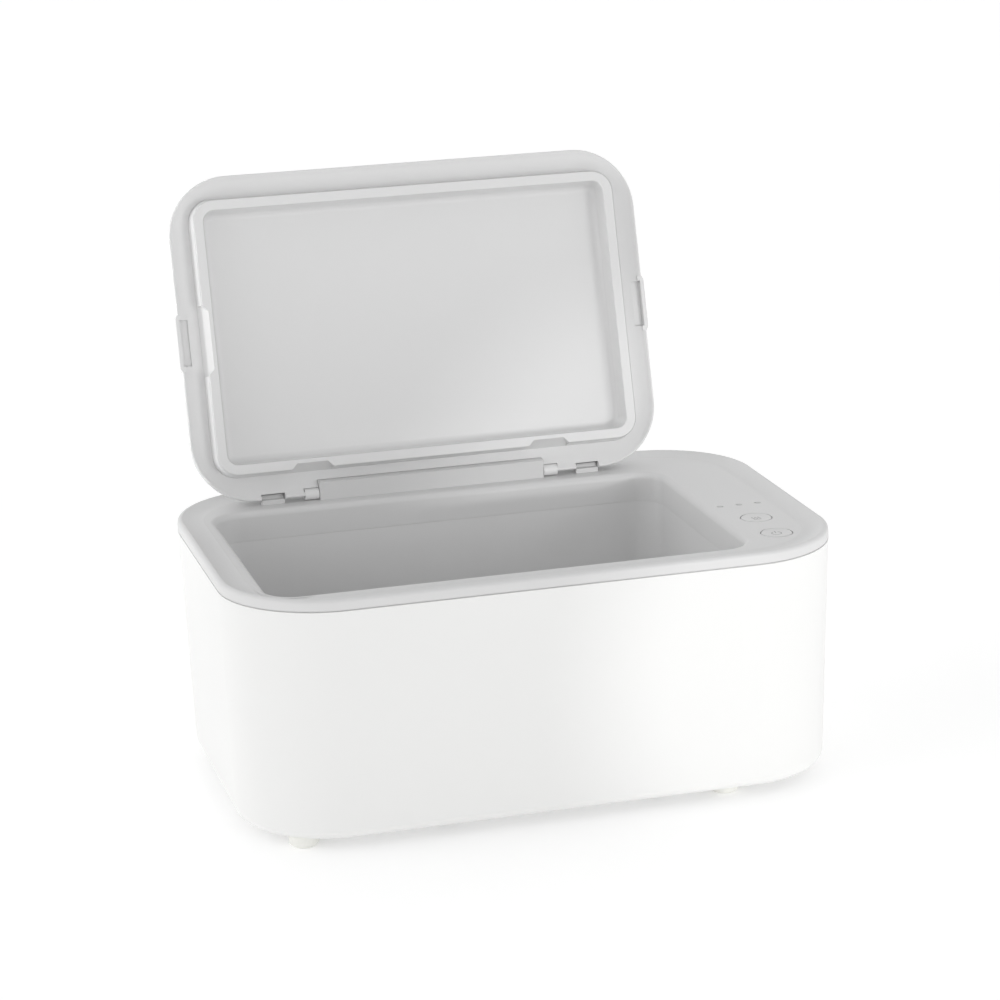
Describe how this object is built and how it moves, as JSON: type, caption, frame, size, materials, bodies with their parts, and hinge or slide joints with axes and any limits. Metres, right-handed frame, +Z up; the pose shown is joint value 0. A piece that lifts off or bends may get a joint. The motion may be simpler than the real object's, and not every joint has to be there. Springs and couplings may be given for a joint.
{
  "type": "baby wipe warmer",
  "caption": "Rounded countertop warmer that keeps a stack of moist wipes warm in a heated tub under a hinged lid, with keys and status lights on a side deck.",
  "frame": {"origin": "on the table under the middle of the object's box with the lid open on its stop", "axes": "+Z up, +X along the long side towards the control deck, the front with the casing's plain face at -Y and the hinge at +Y"},
  "size_m": [0.29, 0.226, 0.2746],
  "materials": {
    "white_casing": "fine satin",
    "grey_frame": "fine matt",
    "grey_lid": "fine matt",
    "grey_tub": "fine matt",
    "foot_pad": "satin",
    "steel": "plain zinc",
    "spreader": "mill",
    "heater_film": "translucent amber film",
    "foam": "closed-cell foam",
    "black_plastic": "matt",
    "ceramic": "glazed",
    "board": "solder mask",
    "led": "clear resin",
    "guide": "frosted acrylic",
    "wire_red": "silicone jacket",
    "wire_black": "vinyl jacket"
  },
  "bodies": {
    "body": {"outer_casing": "white_casing", "base_plate": "white_casing", "rubber_feet": "foot_pad", "base_screws": "steel", "top_frame": "grey_frame", "frame_screws": "steel", "tub": "grey_tub", "heat_spreader": "spreader", "heating_film": "heater_film", "insulation_foam": "foam", "thermostat": "black_plastic", "thermal_fuse": "ceramic", "control_board": "board", "board_screws": "steel", "tact_switches": "black_plastic", "indicator_leds": "led", "light_guides": "guide", "power_inlet": "black_plastic", "heater_leads": "wire_red", "inlet_leads": "wire_black", "hinge_pin": "steel"},
    "lid": {"lid_shell": "grey_lid", "lid_frame": "grey_lid", "lid_liner": "grey_lid"},
    "power_key": {"power_key": "grey_frame"},
    "heat_key": {"heat_key": "grey_frame"}
  },
  "joints": [
    {"name": "lid_hinge", "type": "hinge", "parent": "body", "child": "lid", "pos_m": [-0.0138, 0.05848, 0.1215], "axis": [1, 0, 0], "range_deg": [0, 106.2]},
    {"name": "power_key_press", "type": "slide", "parent": "body", "child": "power_key", "axis": [0, 0, -1], "range_m": [0, 0.0006], "stiffness_N_per_m": 800, "springref_m": -0.0004},
    {"name": "heat_key_press", "type": "slide", "parent": "body", "child": "heat_key", "axis": [0, 0, -1], "range_m": [0, 0.0006], "stiffness_N_per_m": 800, "springref_m": -0.0004}
  ]
}
